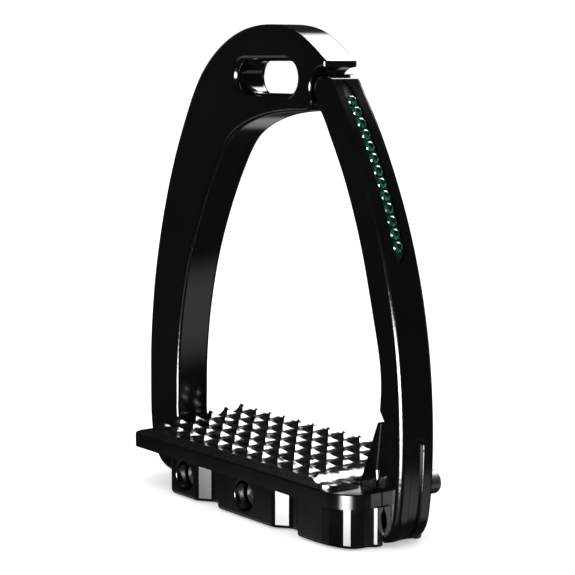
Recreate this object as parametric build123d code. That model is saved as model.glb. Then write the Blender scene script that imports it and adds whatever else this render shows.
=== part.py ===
from build123d import *
import os, math

os.makedirs("parts", exist_ok=True)

# ---------------------------------------------------------------- driving dimensions (mm)
DEPTH = 14.0            # depth of the arch frame and of the release arm, along Y
EDGE_R = 1.3            # rounding on their front and back edges
ARM_R = 2.2             # softer rounding on the arm's front outer edge
BELL_R = 2.8            # bell mouth of the leather slot
PLATE_L, PLATE_R = -64.3, 64.2
PLATE_Y = 22.0          # half depth of the footbed
PLATE_Z0, PLATE_Z1 = 13.0, 17.9
CH = 7.05               # half width of the housing channel round the crossbar
POCKET = 7.3            # half width of the pocket the arm's tail swings in
HX, HZ = 66.8, 19.0     # hinge axis (parallel to Y)
PIN_R = 1.5
BUSH_R = 2.05
TONGUE = 2.2            # half width of the frame's hinge tongue
TINE = 2.8              # the arm's tines start here
SLOT_X, SLOT_Z = 0.55, 148.25
SLOT_L, SLOT_H = 34.3, 10.9
BOLT_X = (-27.7, 8.6)
BOLT_Z = 7.6
PLG_Z = 8.0             # spring plunger axis height (parallel to X)
PLG_TIP = 65.8          # where the plunger's domed tip stands with the arm shut
TOOTH_PX, TOOTH_PY = 8.7, 7.0
CRYSTALS = 13


# ---------------------------------------------------------------- helpers
def v(p):
    return Vector(p[0], 0, p[1])


def spl(pts, t0=None, t1=None):
    kw = {}
    if t0 and t1:
        kw["tangents"] = [v(t0), v(t1)]
    return Edge.make_spline([v(p) for p in pts], **kw)


def line(a, b):
    return Edge.make_line(v(a), v(b))


def poly_edges(pts):
    return [line(a, b) for a, b in zip(pts, pts[1:])]


def arc3(a, b, c):
    return Edge.make_three_point_arc(v(a), v(b), v(c))


def prism(edges, y0, y1):
    """Solid between y0 and y1 from a closed outline in the XZ plane."""
    s = Solid.extrude(Face(Wire(edges)), Vector(0, y1 - y0, 0))
    return s.moved(Location((0, y0, 0)))


def pris(pts, y0, y1):
    return prism(poly_edges(list(pts) + [pts[0]]), y0, y1)


def slab(pts, z0, z1):
    """Solid between z0 and z1 from a closed polygon in the XY plane."""
    w = Wire.make_polygon([Vector(p[0], p[1], z0) for p in pts], close=True)
    return Solid.extrude(Face(w), Vector(0, 0, z1 - z0))


def cyl(axis, r, p, length):
    """Cylinder of radius r starting at p and running length along axis."""
    d = {"x": (1, 0, 0), "y": (0, 1, 0), "z": (0, 0, 1)}[axis]
    return Solid.make_cylinder(r, length, Plane(origin=p, z_dir=d))


def box(x0, x1, y0, y1, z0, z1):
    return Solid.make_box(x1 - x0, y1 - y0, z1 - z0, Plane(origin=(x0, y0, z0)))


def one(s):
    """The solid or solids inside a boolean result."""
    return s.solids()


def cut(a, *bs):
    r = a
    for b in bs:
        r = r - b
    return r


def rnd(s, edges, r):
    """Round edges; where one can't be rounded, round the rest."""
    edges = list(edges)
    try:
        t = s.fillet(r, edges)
        if t.is_valid and t.volume > 0.5 * s.volume:
            return t
    except Exception:
        pass
    for k in (0.8, 0.6, 0.4):
        try:
            t = s.fillet(r * k, edges)
            if t.is_valid:
                print("  rounding reduced to", r * k)
                return t
        except Exception:
            pass
    print("  rounding skipped on", len(edges), "edges")
    return s


def yedges(s, y, tol=0.01):
    out = []
    for e in s.edges():
        bb = e.bounding_box()
        if abs(bb.min.Y - y) < tol and abs(bb.max.Y - y) < tol:
            out.append(e)
    return out


def save(name, *shapes):
    sol = []
    for s in shapes:
        sol += list(s.solids())
    c = sol[0] if len(sol) == 1 else Compound(children=sol)
    c.label = name
    export_step(c, "parts/%s.step" % name)
    print("%-18s %2d solid  %9.1f mm3" % (name, len(sol), sum(x.volume for x in sol)))


def first(shape):
    s = shape.solids()
    return s[0] if len(s) == 1 else max(s, key=lambda q: q.volume)


def pol(r, deg, c=(HX, HZ)):
    return (c[0] + r * math.cos(math.radians(deg)), c[1] + r * math.sin(math.radians(deg)))


H = DEPTH / 2

# ---------------------------------------------------------------- arch frame
OUT = [(-73.0, 19.0), (-73.4, 32.0), (-73.15, 46.0), (-71.76, 61.11), (-69.24, 76.44), (-65.45, 91.69), (-60.6, 106.78),
       (-54.5, 121.67), (-47.1, 136.0), (-40.06, 147.0), (-31.0, 155.7), (-17.31, 163.0), (-0.15, 166.0), (17.76, 163.32),
       (31.7, 155.1)]
INN = [(23.2, 137.3), (12.3, 136.8), (2.0, 135.6), (-5.4, 133.9), (-12.2, 131.6), (-17.7, 128.9), (-22.0, 125.6), (-25.4, 121.7),
       (-30.0, 115.0), (-34.46, 107.6), (-38.45, 100.1), (-45.15, 84.94), (-49.87, 69.67), (-52.93, 54.34), (-54.38, 39.04),
       (-54.6, 29.0), (-54.2, 22.6), (-53.0, 18.3)]
SC, SR = (32.6, 144.7), 6.95             # concave seat round the arm's head
seat_a = pol(SR, 213, SC)                # lower end of the seat
seat_b = pol(SR, 168, SC)
seat_c = pol(SR, 104, SC)                # under the lip
lip_t = (0.845, -0.5347)
lip_p = (OUT[-1][0] + 2.35 * lip_t[0], OUT[-1][1] + 2.35 * lip_t[1])
edges = [spl(OUT, (-0.13, 1), lip_t)]
edges += [line(OUT[-1], lip_p), line(lip_p, (lip_p[0], 151.75)), line((lip_p[0], 151.75), seat_c)]
edges += [arc3(seat_c, seat_b, seat_a)]
edges += [spl([seat_a, INN[0]], (-0.25, -1.0), (-1, -0.02))]
edges += [spl(INN, (-1, -0.02), (0, -1))]
TOW = [(49.8, 12.7), (51.8, 17.9), (60.9, 39.6), (63.6, 39.9), (63.0, 35.8), (61.45, 24.2)]
kn_a, kn_b, kn_c = pol(5.85, 150), pol(5.85, 178), pol(5.85, 198)
ceil_a, ceil_b = (61.2, 17.0), (52.75, 6.9)
path = [INN[-1], (-53.0, 12.7)] + TOW + [kn_a]
edges += poly_edges(path)
edges += [arc3(kn_a, kn_b, kn_c)]
edges += [line(kn_c, ceil_b)]
wall = (57.0, HZ - math.sqrt(18.55 ** 2 - (HX - 57.0) ** 2))
wall0 = (HX - math.sqrt(18.55 ** 2 - (HZ - 6.6) ** 2), 6.6)
edges += [line(ceil_b, wall0), arc3(wall0, (55.0, HZ - math.sqrt(18.55 ** 2 - (HX - 55.0) ** 2)), wall)]
edges += poly_edges([wall, (57.0, 1.8), (-57.5, 1.8)])
edges += [spl([(-57.5, 1.8), (-62.0, 2.4), (-66.9, 4.6), (-70.6, 9.6), OUT[0]], (-1, 0), (-0.13, 1))]
frame = prism(edges, -H, H)
print("frame blank", frame.is_valid, round(frame.volume))
# leather slot, bell-mouthed front and back
sr = SLOT_H / 2
sx = SLOT_L / 2 - sr
zc = SLOT_Z
slot = prism([line((SLOT_X - sx, zc + sr), (SLOT_X + sx, zc + sr)),
              arc3((SLOT_X + sx, zc + sr), (SLOT_X + sx + sr, zc), (SLOT_X + sx, zc - sr)),
              line((SLOT_X + sx, zc - sr), (SLOT_X - sx, zc - sr)),
              arc3((SLOT_X - sx, zc - sr), (SLOT_X - sx - sr, zc), (SLOT_X - sx, zc + sr))], -H - 2, H + 2)
outer_e = yedges(frame, -H) + yedges(frame, H)
# round the visible outline: everything above the crossbar's top, and the outer left corner
vis = [e for e in outer_e if (e.center().Z > 13.5 or e.center().X < -60) and not (e.geom_type == GeomType.CIRCLE and e.center().Z < 25)]
frame = rnd(frame, vis, EDGE_R)
frame = first(frame - slot)
sl = [e for e in yedges(frame, -H) + yedges(frame, H)
      if abs(e.center().X - SLOT_X) < 21 and abs(e.center().Z - zc) < 6.2 and e.bounding_box().max.Z < 155
      and e.bounding_box().min.Z > 141]
frame = rnd(frame, sl, BELL_R)
# hinge tongue, only as wide as the arm's fork allows
tongue = prism([line((58.5, 25.6), (62.0, 24.9)), line((62.0, 24.9), pol(3.1, 75)), arc3(pol(3.1, 75), pol(3.1, -15), pol(3.1, -105)),
                line(pol(3.1, -105), pol(3.1, -125)), line(pol(3.1, -125), (60.6, 16.7)), line((60.6, 16.7), (58.5, 16.9)),
                line((58.5, 16.9), (58.5, 25.6))], -TONGUE, TONGUE)
frame = first(frame + tongue)
frame = cut(frame, cyl("y", BUSH_R, (HX, -4, HZ), 8))
# bore for the spring plunger, guide seat, cross holes for the footbed bolts
frame = cut(frame, cyl("x", 3.6, (16.5, 0, PLG_Z), 34.5), cyl("x", 2.8, (50.0, 0, PLG_Z), 12))
for bx in BOLT_X:
    frame = cut(frame, cyl("y", 2.75, (bx, -9, BOLT_Z), 18))
# blind thread for the plate's left screw, pocket for the seat buffer
frame = cut(frame, cyl("z", 1.5, (-47.0, 0, 6.0), 9))
bd = Plane(origin=(SC[0] - SR - 1.6, 0, SC[1]), z_dir=(1, 0, 0))
frame = cut(frame, Solid.make_cylinder(2.5, 4, bd))
frame = first(frame)

# ---------------------------------------------------------------- release arm
AIN = [(28.2, 142.1), (31.3, 137.0), (34.75, 131.64), (41.89, 119.08), (47.66, 106.61), (52.31, 94.18), (56.0, 81.75),
       (59.3, 69.37), (61.8, 58.5), (62.4, 50.5), (61.9, 43.5)]
AOUT = [(35.1, 148.1), (37.47, 144.36), (41.98, 137.96), (46.07, 131.62), (53.02, 119.03), (58.88, 106.55), (63.59, 94.11),
        (67.33, 81.67), (70.14, 69.18), (72.02, 56.59), (73.07, 43.86), (73.35, 34.0), (73.2, 24.45), (72.85, 19.0)]
TAIL_T = (-0.075, -0.997)
out_edge = spl(AOUT, (0.5, -0.866), TAIL_T)
low = [(72.85, 19.0), (72.2, 13.0), (71.3, 8.0), (69.6, 4.2), (67.6, 2.1)]
low_t = (-0.8, -0.6)
low_end = (low[-1][0] + 1.1 * low_t[0], low[-1][1] + 1.1 * low_t[1])
ka, kb, kc = pol(5.4, 148), pol(5.4, 180), pol(5.4, 218)
kt = (math.sin(math.radians(218)), -math.cos(math.radians(218)))
head_t = (0.85, -0.53)
head_e = (35.1 - 1.2 * head_t[0], 148.1 - 1.2 * head_t[1])
aedges = [out_edge, spl(low, TAIL_T, low_t), line(low[-1], low_end), line(low_end, (64.9, 1.1)), line((64.9, 1.1), (64.0, 2.6)),
          spl([(64.0, 2.6), (64.7, 4.2), (65.75, 6.3), (66.2, 8.6), (65.6, 10.9), (64.1, 13.0), kc], (0.3, 0.95), kt), arc3(kc, kb, ka)]
aedges += poly_edges([ka, (61.85, 24.4), (63.4, 36.0), (64.2, 40.3), AIN[-1]])
aedges += [spl(list(reversed(AIN)), (0.1, 1), (-0.35, 0.94)),
           spl([AIN[0], (27.75, 145.0), (28.9, 147.8), (31.4, 149.35), head_e], (-0.35, 0.94), head_t), line(head_e, AOUT[0])]
arm = prism(aedges, -H, H)
print("arm blank", arm.is_valid, round(arm.volume))
asamp = [c.position_at(t / 80) for c in (out_edge, spl(low, TAIL_T, low_t), line(low[-1], low_end)) for t in range(81)]


def agap(e):
    p = e.position_at(0.5)
    return min(math.hypot(p.X - q.X, p.Z - q.Z) for q in asamp)


arm = rnd(arm, [e for e in yedges(arm, -H) if agap(e) < 0.3], ARM_R)
arm = rnd(arm, yedges(arm, H), EDGE_R)
arm = rnd(arm, [e for e in yedges(arm, -H) if abs(agap(e) - ARM_R) > 0.3 and e.position_at(0.5).Z > 24 and e.position_at(0.5).X < 66], EDGE_R)
arm = rnd(arm, [e for e in yedges(arm, -H) if abs(e.position_at(0.5).Z - 9.4) < 1.5 and e.position_at(0.5).X < 66.6], 0.9)


def t_at(z, edge=out_edge):
    """Parameter on the arm's outer edge at a height."""
    a, b = 0.0, 1.0
    for _ in range(40):
        m = (a + b) / 2
        if edge.position_at(m).Z > z:
            a = m
        else:
            b = m
    return a


def band(t0, t1, d_out, d_in, w, n=9, edge=out_edge):
    """Strip that follows the arm's outer face from t0 to t1, between two offsets, w wide."""
    ts = [t0 + (t1 - t0) * i / (n - 1) for i in range(n)]
    P = [edge.position_at(t) for t in ts]
    T = [edge.tangent_at(t) for t in ts]
    N = [Vector(-t.Z, 0, t.X) for t in T]          # outward normal
    N = [q if q.X > 0 else q * -1 for q in N]
    a = [p + q * d_out for p, q in zip(P, N)]
    b = [p + q * d_in for p, q in zip(P, N)]
    ea = Edge.make_spline(a)
    eb = Edge.make_spline(list(reversed(b)))
    f = Face(Wire([ea, Edge.make_line(a[-1], b[-1]), eb, Edge.make_line(b[0], a[0])]))
    return Solid.extrude(f, Vector(0, w, 0)).moved(Location((0, -w / 2, 0)))


CH_D = 1.25
# leaf-shaped channel for the stones: straight sides, pointed ends
leaf = [(-0.9, 147.3), (-1.7, 145.2), (-2.25, 142.8), (-2.35, 139.5), (-2.35, 96.0), (-2.1, 93.0), (-1.3, 91.0), (-0.3, 90.5),
        (1.2, 91.6), (2.15, 93.4), (2.35, 95.5), (2.35, 139.5), (2.25, 143.0), (1.2, 146.1), (0.0, 147.3)]
lw = Wire.make_polygon([Vector(25, y, z) for y, z in leaf], close=True)
leaf_s = Solid.extrude(Face(lw), Vector(60, 0, 0))
chan = first(band(t_at(147.7), t_at(89.5), 3.0, -CH_D, 6.0, n=15) & leaf_s)
arm = first(cut(arm, chan))
# groove down the outer face, over the hinge and out at the tail
gw = 4.8
arm = cut(arm, prism([line((80, 33.0), (72.35, 33.0)), spl([(72.35, 33.0), (72.2, 24.45), (71.35, 13.8), (70.4, 8.7), (68.9, 4.9), (66.4, 1.9), (64.6, 0.2)]),
                      line((64.6, 0.2), (80, 0.2)), line((80, 0.2), (80, 33.0))], -gw / 2, gw / 2))
arm = first(cut(arm, Solid.make_cylinder(gw / 2, 12, Plane(origin=(72.35, 0, 33.0), z_dir=(1, 0, 0)))))
ge = [e for e in arm.edges() if abs(abs(e.position_at(0.5).Y) - gw / 2) < 0.02 and e.length > 12 and e.position_at(0.5).X > 71.9
      and e.bounding_box().max.Z < 34]
print("groove edges", [(round(e.length, 1), round(e.position_at(0.5).X, 2)) for e in ge])
arm = rnd(arm, ge, 0.6)
# slot between the tines for the tongue, pin hole
arm = cut(arm, prism(poly_edges([(56, 12.4), (56, 27.2), (62.0, 25.7), pol(3.55, 75)]) +
                     [arc3(pol(3.55, 75), pol(3.55, 37), pol(3.55, 0))] +
                     poly_edges([pol(3.55, 0), (HX + 3.55, 14.6), (67.6, 12.4), (56, 12.4)]), -TINE, TINE))
arm = cut(arm, cyl("y", PIN_R + 0.05, (HX, -5.4, HZ), 20))
arm = first(arm)

# ---------------------------------------------------------------- hinge hardware
hinge_screw = first(cyl("y", PIN_R, (HX, -5.3, HZ), 12.85) + cyl("y", 3.9, (HX, 7.5, HZ), 5.2))
hinge_screw = rnd(hinge_screw, [e for e in hinge_screw.edges() if abs(e.center().Y - 12.7) < 0.01], 0.8)
hexa = [(HX + 1.75 * math.cos(math.radians(60 * i)), HZ + 1.75 * math.sin(math.radians(60 * i))) for i in range(6)]
hinge_screw = first(cut(hinge_screw, pris(hexa, 10.2, 14)))
hinge_washer = cut(cyl("y", 4.0, (HX, 7.0, HZ), 0.5), cyl("y", PIN_R + 0.05, (HX, 6, HZ), 3))
hinge_bush = cut(cyl("y", BUSH_R, (HX, -TONGUE, HZ), 2 * TONGUE), cyl("y", PIN_R + 0.05, (HX, -3, HZ), 6))
shim = cut(cyl("y", 2.9, (HX, TONGUE, HZ), 0.35), cyl("y", PIN_R + 0.05, (HX, 2, HZ), 3))
shim2 = cut(cyl("y", 2.9, (HX, -TONGUE - 0.35, HZ), 0.35), cyl("y", PIN_R + 0.05, (HX, -3, HZ), 3))

# ---------------------------------------------------------------- spring plunger in the crossbar
plunger = cyl("x", 2.5, (33.0, 0, PLG_Z), PLG_TIP - 35.5) + Solid.make_sphere(2.5, Plane(origin=(PLG_TIP - 2.5, 0, PLG_Z)), angle1=-90, angle2=90)
plunger = plunger + cyl("x", 3.5, (37.0, 0, PLG_Z), 2.0)
plunger = cut(plunger, cyl("x", 4, (30.0, 0, PLG_Z), 7.0))
plunger = first(plunger + cyl("x", 1.6, (32.5, 0, PLG_Z), 5.0))
plunger_guide = cut(cyl("x", 3.6, (43.5, 0, PLG_Z), 7.4), cyl("x", 2.55, (40, 0, PLG_Z), 14))
spring_seat = first(cyl("x", 3.5, (16.5, 0, PLG_Z), 1.5) + cyl("x", 1.6, (18.0, 0, PLG_Z), 1.8))
turns, s0, s1, wr, sr_ = 6, 18.45, 36.55, 0.42, 2.75
helix = Edge.make_helix(pitch=(s1 - s0) / turns, height=s1 - s0, radius=sr_, center=(s0, 0, PLG_Z), normal=(1, 0, 0))
hp, ht = helix.position_at(0), helix.tangent_at(0)
wire_face = Face(Wire.make_circle(wr, Plane(origin=hp, z_dir=ht)))
plunger_spring = Solid.sweep(wire_face, Wire([helix]))

# ---------------------------------------------------------------- housing under the footbed
F = PLATE_Y - 0.25
fr = [(-38.5, 0), (-38.5, -F + 3.2), (-37.6, -F + 1.0), (-35.3, -F), (-20.9, -F), (-19.6, -F + 0.7), (-15.6, -18.1), (-14.0, -17.7),
      (-10.4, -17.7), (-9.2, -18.2), (-7.6, -F + 0.6), (-6.4, -F), (24.6, -F), (25.9, -F + 0.5), (29.9, -18.1), (31.5, -17.7),
      (35.4, -17.7), (36.6, -18.2), (38.2, -F + 0.6), (39.4, -F), (47.5, -F), (51.5, -21.4), (54.6, -20.9), (57.4, -20.2), (59.8, -19.2),
      (61.7, -17.8), (62.9, -15.9), (63.4, -13.6), (63.6, -11.6), (64.4, -10.4), (65.1, -9.6), (65.1, 0)]
back = [(65.1, 8.9), (64.0, 9.5), (62.4, 10.7), (60.3, 12.4), (57.5, 14.9), (54.0, 17.5), (50.0, 19.8), (46.0, 21.2), (42.5, F)]
full = fr + back + [(x, -y) for x, y in reversed(fr) if y != 0 and x < 40]
housing = slab(full, 0.0, PLATE_Z0)
ve = [e for e in housing.edges() if abs(e.tangent_at(0.5).Z) > 0.99 and e.center().X < 41 and e.center().X > -38]
housing = rnd(housing, ve, 1.4)
housing = rnd(housing, [e for e in housing.edges() if e.bounding_box().max.Z < 0.01], 1.2)
housing = cut(housing, box(-40, 52, -CH, CH, 1.6, 15), box(49.8, 70, -POCKET, POCKET, -1, 15))
for bx in BOLT_X:
    housing = cut(housing, cyl("y", 5.2, (bx, -25, BOLT_Z), 25 - 11.4), cyl("y", 5.2, (bx, 14.3, BOLT_Z), 12),
                  cyl("y", 2.75, (bx, -16, BOLT_Z), 32))
PS = [(-12.0, -12.4), (-12.0, 12.4), (45.0, -14.0), (45.0, 14.0)]
for x, y in PS:
    housing = cut(housing, cyl("z", 1.5, (x, y, 5.0), 10))
housing = first(housing)
if True:
    m = [q for q in housing.edges() if q.geom_type == GeomType.CIRCLE and abs(q.radius - 5.2) < 0.01
         and abs(abs(q.center().Y) - F) < 0.05]
    housing = rnd(housing, m, 0.6)

# ---------------------------------------------------------------- footbed plate
def corner(cx, cy, r, a0, a1, n=7):
    return [(cx + r * math.cos(math.radians(a0 + (a1 - a0) * i / n)), cy + r * math.sin(math.radians(a0 + (a1 - a0) * i / n)))
            for i in range(n + 1)]


with BuildSketch(Plane.XY.offset(PLATE_Z0)) as sk:
    with BuildLine():
        Polyline((PLATE_L, -PLATE_Y), (PLATE_R, -PLATE_Y), (PLATE_R, PLATE_Y), (PLATE_L, PLATE_Y), close=True)
    make_face()
    vs = sk.vertices()
    fillet([q for q in vs if q.X < 0], 6.5)
    fillet([q for q in sk.vertices() if q.X > 60 and q.Y < 0], 10.5)
    fillet([q for q in sk.vertices() if q.X > 60 and q.Y > 21], 16.0)
plate = Solid.extrude(sk.sketch.faces()[0], Vector(0, 0, PLATE_Z1 - PLATE_Z0))
plate = cut(plate, box(-70, -52.7, -CH, CH, 10, 20), box(50.0, 70, -POCKET, POCKET, 10, 20))
plate = cut(plate, cyl("y", 4.6, (HX, 7.0, HZ), 20))
plate = first(plate)
plate = rnd(plate, [e for e in plate.edges() if e.bounding_box().min.Z > PLATE_Z1 - 0.01], 0.5)
TS = [(-44.5, -15.0), (-44.5, 15.0), (38.0, -15.0), (38.0, 15.0)]
for x, y in PS + [(-47.0, 0.0)]:
    plate = cut(plate, cyl("z", 1.6, (x, y, 10), 10), cyl("z", 2.9, (x, y, 15.9), 5))
for x, y in TS:
    plate = cut(plate, cyl("z", 1.35, (x, y, 10), 10), cyl("z", 2.6, (x, y, 12), 3.9))
plate = first(plate)


def cap_screw_z(x, y, zt, r_head, h_head, r_sh, z_end, up=False):
    s = 1 if not up else -1
    if not up:       # head on top, shank down
        b = cyl("z", r_head, (x, y, zt - h_head), h_head) + cyl("z", r_sh, (x, y, z_end), zt - h_head - z_end)
        hx = [(x + 1.0 * math.cos(math.radians(60 * i)), y + 1.0 * math.sin(math.radians(60 * i))) for i in range(6)]
        return first(cut(b, slab(hx, zt - 1.1, zt + 1)))
    b = cyl("z", r_head, (x, y, zt), h_head) + cyl("z", r_sh, (x, y, zt + h_head), z_end - zt - h_head)
    hx = [(x + 1.0 * math.cos(math.radians(60 * i)), y + 1.0 * math.sin(math.radians(60 * i))) for i in range(6)]
    return first(cut(b, slab(hx, zt - 1, zt + 1.1)))


plate_screws = [cap_screw_z(x, y, 17.6, 2.75, 1.7, 1.45, 6.5) for x, y in PS + [(-47.0, 0.0)]]
tread_screws = [cap_screw_z(x, y, 14.15, 2.45, 1.7, 1.2, 20.6, up=True) for x, y in TS]

# ---------------------------------------------------------------- tread insert
TX0, TX1, TY = -49.8, 53.2, 21.4
GR_X, GR_Y = 5.15, 3.78      # radii of the hollows between teeth


def zval(y):
    return 22.35 + 0.068 * y


TH = 2.35
with BuildSketch(Plane.XY.offset(PLATE_Z1)) as sk2:
    with BuildLine():
        Polyline((TX0, -TY), (TX1, -TY), (TX1, TY), (TX0, TY), close=True)
    make_face()
    fillet([q for q in sk2.vertices() if q.X < 0], 1.5)
    fillet([q for q in sk2.vertices() if q.X > 0 and q.Y < 0], 5.0)
    fillet([q for q in sk2.vertices() if q.X > 0 and q.Y > 21], 13.0)
tread = Solid.extrude(sk2.sketch.faces()[0], Vector(0, 0, 12))
# sloping top at the height of the tooth tips
top = Solid.extrude(Face(Wire.make_polygon([Vector(-60, -30, zval(-30) + TH), Vector(-60, 30, zval(30) + TH), Vector(-60, 30, 40),
                                            Vector(-60, -30, 40)], close=True)), Vector(130, 0, 0))
tread = cut(tread, top)
# round-bottomed hollows between the teeth: along Y, then along X
for k in range(-7, 7):
    gx = 4.1 + TOOTH_PX * (k + 0.5)
    if gx < TX0 - 2 or gx > TX1 + 3:
        continue
    d = Vector(0, 60, 60 * 0.068)
    c = Solid.make_cylinder(GR_X, d.length, Plane(origin=(gx, -30, zval(-30) + GR_X), z_dir=(d.X, d.Y, d.Z)))
    tread = cut(tread, c)
for k in range(-4, 4):
    gy = -20.5 + TOOTH_PY * (k + 4)
    if gy > TY + 1:
        continue
    tread = cut(tread, cyl("x", GR_Y, (-60, gy, zval(gy) + GR_Y), 130))
# the right end dips away from the hinge tower
dip = prism([spl([(43.2, 30.0), (44.6, 23.2), (47.6, 20.3), (51.5, 19.25), (56.0, 19.15)]), line((56.0, 19.15), (60, 30.0)), line((60, 30.0), (43.2, 30.0))], -30, 30)
tread = cut(tread, dip)
tread = cut(tread, box(49.4, 60, -7.7, 7.7, 10, 30))
for x, y in TS:
    tread = cut(tread, cyl("z", 1.2, (x, y, 15), 5.8))
tread = first(tread)

# ---------------------------------------------------------------- footbed bolts, washers and nuts
bolts, washers, nuts = [], [], []
for bx in BOLT_X:
    b = cyl("y", 2.5, (bx, -12.4, BOLT_Z), 12.4 + 18.9) + cyl("y", 4.25, (bx, -17.4, BOLT_Z), 5.0)
    b = first(b)
    b = rnd(b, [e for e in b.edges() if abs(e.center().Y + 17.4) < 0.01], 0.5)
    hx = [(bx + 2.3 * math.cos(math.radians(60 * i)), BOLT_Z + 2.3 * math.sin(math.radians(60 * i))) for i in range(6)]
    bolts.append(first(cut(b, pris(hx, -23, -14.7))))
    washers.append(cut(cyl("y", 4.9, (bx, -12.4, BOLT_Z), 1.0), cyl("y", 2.6, (bx, -13, BOLT_Z), 3)))
    hx = [(bx + 4.5 * math.cos(math.radians(60 * i)), BOLT_Z + 4.5 * math.sin(math.radians(60 * i))) for i in range(6)]
    nuts.append(cut(pris(hx, 14.3, 18.3), cyl("y", 2.5, (bx, 14, BOLT_Z), 6)))

# ---------------------------------------------------------------- seat buffer
buf = Solid.make_cylinder(2.45, 3.0, bd)
buf = first(buf)
buf = rnd(buf, [e for e in buf.edges() if e.center().X > bd.origin.X + 2.9], 0.5)

# ---------------------------------------------------------------- crystal strip in the arm
tray = first(band(t_at(147.5), t_at(90.0), -CH_D + 0.55, -CH_D, 6.0, n=15) &
             Solid.extrude(Face(Wire.make_polygon([Vector(25, 0.93 * y, 119 + (z - 119) * 0.985) for y, z in leaf], close=True)), Vector(60, 0, 0)))
crystals = []
# thirteen stones at an even pitch along the curve
ta, tb = t_at(141.4), t_at(95.7)
for i in range(CRYSTALS):
    t = ta + i * (tb - ta) / (CRYSTALS - 1)
    p, tt = out_edge.position_at(t), out_edge.tangent_at(t)
    n = Vector(-tt.Z, 0, tt.X)
    n = n if n.X > 0 else n * -1
    base = p + n * (-CH_D + 0.6)
    pl = Plane(origin=base, z_dir=n)
    pl2 = Plane(origin=base + n * 0.4, z_dir=n)
    crystals.append(first(Solid.make_cylinder(1.92, 0.4, pl) + Solid.make_cone(1.92, 1.1, 0.7, pl2)))
print("stone pitch", round((tb - ta) * out_edge.length / (CRYSTALS - 1), 2))

# ---------------------------------------------------------------- write the nodes
save("arch_frame", frame)
save("footbed_housing", housing)
save("footbed_plate", plate)
save("tread_insert", tread)
save("plate_screws", *plate_screws)
save("tread_screws", *tread_screws)
save("footbed_bolts", *bolts)
save("footbed_washers", *washers)
save("footbed_nuts", *nuts)
save("hinge_bush", hinge_bush)
save("hinge_shims", shim, shim2)
save("plunger_guide", plunger_guide)
save("spring_seat", spring_seat)
save("seat_buffer", buf)
save("release_arm", arm)
save("hinge_screw", hinge_screw)
save("hinge_washer", hinge_washer)
save("crystal_tray", tray)
save("crystals", *crystals)
save("plunger", plunger)
save("plunger_spring", plunger_spring)
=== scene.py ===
import bpy, bmesh, math
import numpy as np
from mathutils import Vector, Matrix


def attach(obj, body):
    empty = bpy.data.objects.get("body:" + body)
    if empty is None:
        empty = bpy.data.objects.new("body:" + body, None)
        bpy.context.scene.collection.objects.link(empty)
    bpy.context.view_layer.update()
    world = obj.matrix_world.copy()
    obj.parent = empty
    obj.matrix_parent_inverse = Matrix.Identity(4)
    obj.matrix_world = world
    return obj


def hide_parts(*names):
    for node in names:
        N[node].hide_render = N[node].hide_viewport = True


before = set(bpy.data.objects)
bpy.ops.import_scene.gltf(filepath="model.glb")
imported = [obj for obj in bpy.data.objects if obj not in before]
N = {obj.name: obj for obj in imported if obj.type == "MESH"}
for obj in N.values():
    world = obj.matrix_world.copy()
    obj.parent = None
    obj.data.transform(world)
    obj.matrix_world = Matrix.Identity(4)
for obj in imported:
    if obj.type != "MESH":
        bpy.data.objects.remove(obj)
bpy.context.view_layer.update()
sc = bpy.context.scene

# ------------------------------------------------------------------ camera
cam = bpy.data.cameras.new("camera")
cam.sensor_width = 36.0
cam.lens = 112.59
cam.clip_start, cam.clip_end = 0.01, 50
cam_o = bpy.data.objects.new("camera", cam)
sc.collection.objects.link(cam_o)
cam_o.location = (0.4949, -0.3652, 0.1539)
cam_o.rotation_euler = (math.radians(82.806), 0, math.radians(53.33))
sc.camera = cam_o

# ------------------------------------------------------------------ material helpers
def new_mat(name):
    m = bpy.data.materials.new(name)
    m.use_nodes = True
    nt = m.node_tree
    return m, nt, nt.nodes["Principled BSDF"]


def link(nt, a, ao, b, bi):
    nt.links.new(a.outputs[ao], b.inputs[bi])


def coords(nt, scale=(1, 1, 1)):
    tc = nt.nodes.new("ShaderNodeTexCoord")
    mp = nt.nodes.new("ShaderNodeMapping")
    mp.inputs["Scale"].default_value = scale
    link(nt, tc, "Object", mp, "Vector")
    return mp


def noise(nt, vec, scale, detail=3.0, rough=0.5):
    n = nt.nodes.new("ShaderNodeTexNoise")
    n.inputs["Scale"].default_value = scale
    n.inputs["Detail"].default_value = detail
    n.inputs["Roughness"].default_value = rough
    link(nt, vec, "Vector", n, "Vector")
    return n


def ramp(nt, src, out, stops):
    r = nt.nodes.new("ShaderNodeValToRGB")
    r.color_ramp.elements[0].position, r.color_ramp.elements[0].color = stops[0][0], (*stops[0][1], 1)
    r.color_ramp.elements[1].position, r.color_ramp.elements[1].color = stops[-1][0], (*stops[-1][1], 1)
    for p, c in stops[1:-1]:
        e = r.color_ramp.elements.new(p)
        e.color = (*c, 1)
    link(nt, src, out, r, "Fac")
    return r


def maprange(nt, src, out, a, b, c, d):
    m = nt.nodes.new("ShaderNodeMapRange")
    m.inputs["From Min"].default_value, m.inputs["From Max"].default_value = a, b
    m.inputs["To Min"].default_value, m.inputs["To Max"].default_value = c, d
    link(nt, src, out, m, "Value")
    return m


def bump(nt, src, out, bsdf, strength, dist):
    b = nt.nodes.new("ShaderNodeBump")
    b.inputs["Strength"].default_value = strength
    b.inputs["Distance"].default_value = dist
    link(nt, src, out, b, "Height")
    link(nt, b, "Normal", bsdf, "Normal")
    return b


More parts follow.
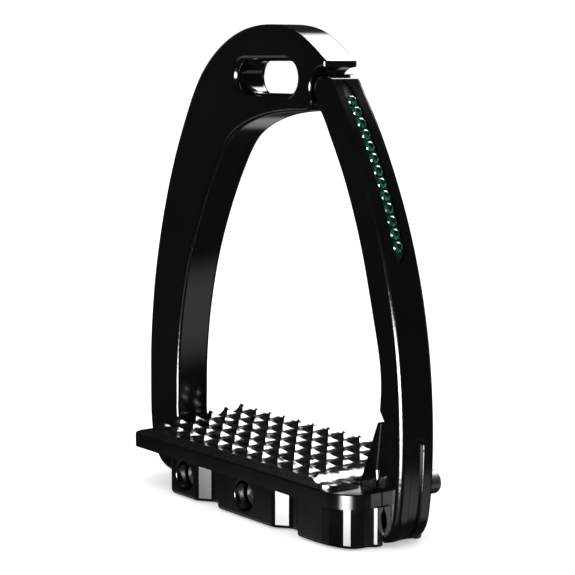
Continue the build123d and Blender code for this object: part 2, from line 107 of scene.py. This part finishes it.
def lacquer(name, base, rough, coat=0.0, spec=0.5, var=0.25, peel=0.02, peel_scale=900, edge=True):
    """Dark lacquer or anodise over metal: faint tone drift, roughness mottling, orange peel, edges a touch worn."""
    m, nt, b = new_mat(name)
    v = coords(nt)
    n1 = noise(nt, v, 22, 4)
    lo = tuple(c * (1 - var) for c in base)
    hi = tuple(min(1, c * (1 + var)) for c in base)
    c = ramp(nt, n1, "Fac", [(0.3, lo), (0.7, hi)])
    if edge:
        g = nt.nodes.new("ShaderNodeNewGeometry")
        er = ramp(nt, g, "Pointiness", [(0.505, (0, 0, 0)), (0.6, (1, 1, 1))])
        n2 = noise(nt, v, 260, 5, 0.65)
        mul = nt.nodes.new("ShaderNodeMath"); mul.operation = "MULTIPLY"
        link(nt, er, "Color", mul, 0); link(nt, n2, "Fac", mul, 1)
        mx = nt.nodes.new("ShaderNodeMix"); mx.data_type = "RGBA"
        fac = maprange(nt, mul, "Value", 0.3, 0.9, 0.0, 0.35)
        link(nt, fac, "Result", mx, 0)
        link(nt, c, "Color", mx, 6)
        mx.inputs[7].default_value = (base[0] * 3 + 0.01, base[1] * 3 + 0.01, base[2] * 3 + 0.01, 1)
        link(nt, mx, 2, b, "Base Color")
    else:
        link(nt, c, "Color", b, "Base Color")
    n3 = noise(nt, v, 60, 4)
    r = maprange(nt, n3, "Fac", 0.3, 0.7, rough * 0.8, rough * 1.25)
    link(nt, r, "Result", b, "Roughness")
    n4 = noise(nt, v, peel_scale, 2)
    bump(nt, n4, "Fac", b, peel, 0.0002)
    b.inputs["Specular IOR Level"].default_value = spec
    b.inputs["Coat Weight"].default_value = coat
    b.inputs["Coat Roughness"].default_value = 0.03
    return m


def metal(name, base, rough, var=0.2, scratch=0.05, stretch=(1, 1, 1), scale=300):
    m, nt, b = new_mat(name)
    v = coords(nt, stretch)
    n1 = noise(nt, v, scale, 5, 0.6)
    c = ramp(nt, n1, "Fac", [(0.25, tuple(x * (1 - var) for x in base)), (0.75, tuple(min(1, x * (1 + var)) for x in base))])
    link(nt, c, "Color", b, "Base Color")
    b.inputs["Metallic"].default_value = 1.0
    n2 = noise(nt, v, scale * 2, 4, 0.6)
    r = maprange(nt, n2, "Fac", 0.3, 0.7, rough * 0.75, rough * 1.3)
    link(nt, r, "Result", b, "Roughness")
    bump(nt, n2, "Fac", b, scratch, 0.0001)
    return m


def tread_metal(name, base, rough):
    """Dark polished metal whose flanks are slightly wavy from casting, so their shine breaks into lens-shaped streaks."""
    m, nt, b = new_mat(name)
    v = coords(nt, (1.0, 1.5, 2.2))
    n1 = noise(nt, v, 300, 5, 0.6)
    c = ramp(nt, n1, "Fac", [(0.25, tuple(x * 0.85 for x in base)), (0.75, tuple(x * 1.15 for x in base))])
    link(nt, c, "Color", b, "Base Color")
    b.inputs["Metallic"].default_value = 1.0
    n2 = noise(nt, v, 600, 4, 0.6)
    r = maprange(nt, n2, "Fac", 0.3, 0.7, rough * 0.75, rough * 1.3)
    link(nt, r, "Result", b, "Roughness")
    n3 = noise(nt, v, 150, 1.0, 0.3)
    g = nt.nodes.new("ShaderNodeNewGeometry")
    sep = nt.nodes.new("ShaderNodeSeparateXYZ")
    link(nt, g, "Normal", sep, "Vector")
    up = maprange(nt, sep, "Z", 0.1, 0.4, 0.0, 1.0)
    mul = nt.nodes.new("ShaderNodeMath"); mul.operation = "MULTIPLY"
    link(nt, n3, "Fac", mul, 0); link(nt, up, "Result", mul, 1)
    bump(nt, mul, "Value", b, 0.45, 0.0018)
    return m


M = {}
M["frame"] = lacquer("frame_lacquer_mat", (0.0018, 0.0022, 0.0026), 0.13, coat=0.35, peel=0.012)
M["arm"] = lacquer("arm_lacquer_mat", (0.0018, 0.0022, 0.0026), 0.14, coat=0.35, peel=0.012)
M["base"] = lacquer("base_lacquer_mat", (0.0018, 0.0022, 0.0026), 0.15, coat=0.35, peel=0.012)
M["plate"] = lacquer("plate_anodised_mat", (0.0028, 0.0032, 0.0037), 0.20, coat=0.0, peel=0.010, peel_scale=1400)
M["tread"] = tread_metal("tread_metal_mat", (0.25, 0.26, 0.27), 0.17)
M["screw"] = metal("screw_steel_mat", (0.5, 0.5, 0.5), 0.3)
M["bolt"] = metal("bolt_black_mat", (0.34, 0.34, 0.35), 0.38)
M["bronze"] = metal("bush_bronze_mat", (0.5, 0.33, 0.15), 0.35)
M["hinge"] = metal("hinge_screw_mat", (0.30, 0.30, 0.31), 0.45)
M["spring"] = metal("spring_steel_mat", (0.42, 0.42, 0.43), 0.25)
M["shim"] = lacquer("shim_polymer_mat", (0.7, 0.69, 0.65), 0.5, edge=False, var=0.05)
M["rubber"] = lacquer("buffer_rubber_mat", (0.02, 0.02, 0.02), 0.7, edge=False, peel=0.1)
M["tray"] = lacquer("tray_dark_mat", (0.006, 0.012, 0.010), 0.25, edge=False)


def crystal_mat(name, lo, mid, hi, rough):
    m, nt, b = new_mat(name)
    v = coords(nt)
    n = noise(nt, v, 1100, 3)
    c = ramp(nt, n, "Fac", [(0.3, lo), (0.55, mid), (0.8, hi)])
    link(nt, c, "Color", b, "Base Color")
    n2 = noise(nt, v, 500, 2)
    r = maprange(nt, n2, "Fac", 0.3, 0.7, rough * 0.7, rough * 1.4)
    link(nt, r, "Result", b, "Roughness")
    b.inputs["IOR"].default_value = 1.7
    b.inputs["Coat Weight"].default_value = 1.0
    b.inputs["Coat Roughness"].default_value = 0.02
    return m


M["crystal"] = crystal_mat("crystal_green_mat", (0.0, 0.020, 0.012), (0.002, 0.075, 0.048), (0.006, 0.16, 0.105), 0.07)
# Table facets get a near-black copy of the stone green: painted shade standing in for the dark centre a cut stone
# shows.
M["crystal_table"] = crystal_mat("crystal_table_mat", (0.0, 0.003, 0.002), (0.0, 0.010, 0.007), (0.001, 0.030, 0.020), 0.05)


def assign(node, mat):
    o = N[node]
    if not o.data.materials:
        o.data.materials.append(mat)
    for i in range(len(o.material_slots)):
        o.material_slots[i].link = "OBJECT"
        o.material_slots[i].material = mat
    return o


for node, key in {"arch_frame": "frame", "footbed_housing": "base", "footbed_plate": "plate", "tread_insert": "tread",
                  "plate_screws": "screw", "tread_screws": "screw", "footbed_bolts": "bolt", "footbed_washers": "screw",
                  "footbed_nuts": "screw", "hinge_bush": "bronze", "hinge_shims": "shim", "plunger_guide": "bronze",
                  "spring_seat": "screw", "seat_buffer": "rubber", "release_arm": "arm", "hinge_screw": "hinge",
                  "hinge_washer": "hinge", "crystal_tray": "tray", "crystals": "crystal", "plunger": "spring",
                  "plunger_spring": "spring"}.items():
    assign(node, M[key])

# ------------------------------------------------------------------ faceted stones over the plain CAD ones
def islands(o):
    me = o.data
    par = list(range(len(me.vertices)))

    def find(a):
        while par[a] != a:
            par[a] = par[par[a]]
            a = par[a]
        return a
    weld = {}
    for v_ in me.vertices:
        k = tuple(round(c * 1e6) for c in v_.co)
        if k in weld:
            par[find(v_.index)] = find(weld[k])
        else:
            weld[k] = v_.index
    for e in me.edges:
        par[find(e.vertices[0])] = find(e.vertices[1])
    g = {}
    for v_ in me.vertices:
        g.setdefault(find(v_.index), []).append(o.matrix_world @ v_.co)
    return [np.array([list(q) for q in p]) for p in g.values()]


def stones(node):
    bm = bmesh.new()
    found = sorted(islands(N[node]), key=lambda p: -p[:, 2].mean())
    for P in found:
        c = (P.max(0) + P.min(0)) / 2
        w_, V_ = np.linalg.eigh(np.cov((P - P.mean(0)).T))
        n = V_[:, 0]
        n = n if n[0] > 0 else -n
        y = np.array([0.0, 1.0, 0.0])
        u = np.cross(y, n)
        u /= np.linalg.norm(u)
        d = (P - c) @ n
        h0, h1 = d.min(), d.max()
        R = 0.00192

        def ring(r, h, k, off):
            out = []
            for i_ in range(k):
                a = 2 * math.pi * (i_ + off) / k
                q = c + n * h + (u * math.cos(a) + y * math.sin(a)) * r
                out.append(bm.verts.new(q))
            return out
        base = ring(R * 0.93, h0, 16, 0)
        gird0 = ring(R, h0 + 0.00022, 16, 0)
        gird1 = ring(R, h0 + 0.00036, 16, 0)
        star = ring(R * 0.80, h0 + 0.00082, 8, 0.5)
        table = ring(R * 0.50, h1, 8, 0.0)
        bm.faces.new(list(reversed(base)))
        for i_ in range(16):
            k_ = (i_ + 1) % 16
            bm.faces.new((base[i_], base[k_], gird0[k_], gird0[i_]))
            bm.faces.new((gird0[i_], gird0[k_], gird1[k_], gird1[i_]))
        for i_ in range(8):
            k_ = (i_ + 1) % 8
            a0, a1, a2 = gird1[2 * i_], gird1[2 * i_ + 1], gird1[(2 * i_ + 2) % 16]
            bm.faces.new((a0, a1, star[i_]))
            bm.faces.new((a1, a2, star[i_]))
            bm.faces.new((star[i_], a2, star[k_]))
            bm.faces.new((star[i_], star[k_], table[k_]))
            bm.faces.new((table[i_], star[i_], table[k_]))
        f = bm.faces.new(table)
        # The table facet takes the near-black copy of the stone material: painted shade on the stone's centre.
        f.material_index = 1
    bm.normal_update()
    me = bpy.data.meshes.new("cut_stones")
    bm.to_mesh(me)
    bm.free()
    o = bpy.data.objects.new("cut_stones", me)
    me.materials.append(M["crystal"])
    me.materials.append(M["crystal_table"])
    sc.collection.objects.link(o)
    return o


gem = stones("crystals")
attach(gem, "arm_body")
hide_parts("crystals")

# ------------------------------------------------------------------ stage and light
def plane(name, size, loc, rot=(0, 0, 0)):
    me = bpy.data.meshes.new(name)
    s = size / 2
    me.from_pydata([(-s, -s, 0), (s, -s, 0), (s, s, 0), (-s, s, 0)], [], [(0, 1, 2, 3)])
    o = bpy.data.objects.new(name, me)
    o.location, o.rotation_euler = loc, rot
    sc.collection.objects.link(o)
    return o


floor = plane("floor", 30, (0, 0, -0.0005))
fm, nt, b = new_mat("floor_mat")
v = coords(nt)
n = noise(nt, v, 3, 2)
c = ramp(nt, n, "Fac", [(0.3, (0.93, 0.93, 0.93)), (0.7, (0.96, 0.96, 0.96))])
link(nt, c, "Color", b, "Base Color")
b.inputs["Roughness"].default_value = 0.9
b.inputs["Specular IOR Level"].default_value = 0.1
b.inputs["Emission Color"].default_value = (1, 1, 1, 1)
b.inputs["Emission Strength"].default_value = 0.42
floor.data.materials.append(fm)
floor.visible_glossy = False

w = bpy.data.worlds.new("studio")
sc.world = w
w.use_nodes = True
wt = w.node_tree
bg = wt.nodes["Background"]
lp = wt.nodes.new("ShaderNodeLightPath")
bg.inputs["Color"].default_value = (1, 1, 1, 1)
bg.inputs["Strength"].default_value = 1.05
bg2 = wt.nodes.new("ShaderNodeBackground")
bg2.inputs["Color"].default_value = (0.93, 0.97, 1.0, 1)
bg2.inputs["Strength"].default_value = 0.026
mx = wt.nodes.new("ShaderNodeMixShader")
wt.links.new(lp.outputs["Is Glossy Ray"], mx.inputs[0])
wt.links.new(bg.outputs[0], mx.inputs[1])
wt.links.new(bg2.outputs[0], mx.inputs[2])
wt.links.new(mx.outputs[0], wt.nodes["World Output"].inputs[0])


def area(name, direction, dist, sx, sy, power, target=(0, 0, 0.08)):
    l = bpy.data.lights.new(name, "AREA")
    l.shape = "RECTANGLE"
    l.size, l.size_y = sx, sy
    l.energy = power
    o = bpy.data.objects.new(name, l)
    d = Vector(direction).normalized()
    o.location = Vector(target) + d * dist
    o.rotation_euler = (-d).to_track_quat("-Z", "Y").to_euler()
    sc.collection.objects.link(o)
    return o


def panel(name, direction, dist, sx, sy, strength, soft=0.35, target=(0, 0, 0.08)):
    """Soft-edged glowing panel: seen only in reflections, brightest in the middle."""
    d = Vector(direction).normalized()
    o = plane(name, 1.0, Vector(target) + d * dist)
    o.rotation_euler = (-d).to_track_quat("-Z", "Y").to_euler()
    o.scale = (sx, sy, 1)
    m = bpy.data.materials.new(name + "_mat")
    m.use_nodes = True
    nt = m.node_tree
    nt.nodes.clear()
    out = nt.nodes.new("ShaderNodeOutputMaterial")
    em = nt.nodes.new("ShaderNodeEmission")
    tc = nt.nodes.new("ShaderNodeTexCoord")
    sep = nt.nodes.new("ShaderNodeSeparateXYZ")
    link(nt, tc, "Object", sep, "Vector")
    prod = None
    for ax in ("X", "Y"):
        ab = nt.nodes.new("ShaderNodeMath"); ab.operation = "ABSOLUTE"
        link(nt, sep, ax, ab, 0)
        mr = nt.nodes.new("ShaderNodeMapRange")
        mr.interpolation_type = "SMOOTHSTEP"
        mr.inputs["From Min"].default_value, mr.inputs["From Max"].default_value = 0.5, 0.5 - soft
        mr.inputs["To Min"].default_value, mr.inputs["To Max"].default_value = 0.0, 1.0
        link(nt, ab, "Value", mr, "Value")
        if prod is None:
            prod = mr
        else:
            mu = nt.nodes.new("ShaderNodeMath"); mu.operation = "MULTIPLY"
            link(nt, prod, "Result", mu, 0); link(nt, mr, "Result", mu, 1)
            prod = mu
    sc_ = nt.nodes.new("ShaderNodeMath"); sc_.operation = "MULTIPLY"
    link(nt, prod, "Value", sc_, 0)
    sc_.inputs[1].default_value = strength
    link(nt, sc_, "Value", em, "Strength")
    link(nt, em, "Emission", out, "Surface")
    o.data.materials.append(m)
    o.visible_camera = False
    o.visible_shadow = False
    o.visible_diffuse = False
    return o


panel("top_back", (-0.16, 0.62, 0.72), 1.2, 1.05, 1.0, 10.0)
panel("front_key", (0.59, -0.80, -0.11), 1.3, 1.15, 0.75, 55.0)
panel("left_fill", (-0.98, -0.1, 0.25), 1.3, 0.8, 0.8, 0.25)
for i_, (x_, y_) in enumerate(((0.8, 0.6), (-0.8, -0.6), (-0.6, 0.8), (0.6, -0.8))):
    panel("low_fill_%d" % i_, (x_, y_, -0.52), 1.4, 1.5, 0.62, 0.55)
panel("back_right", (0.25, 0.97, 0.02), 1.3, 0.30, 0.45, 2.0)

sc.view_settings.view_transform = "Standard"
sc.view_settings.look = "None"
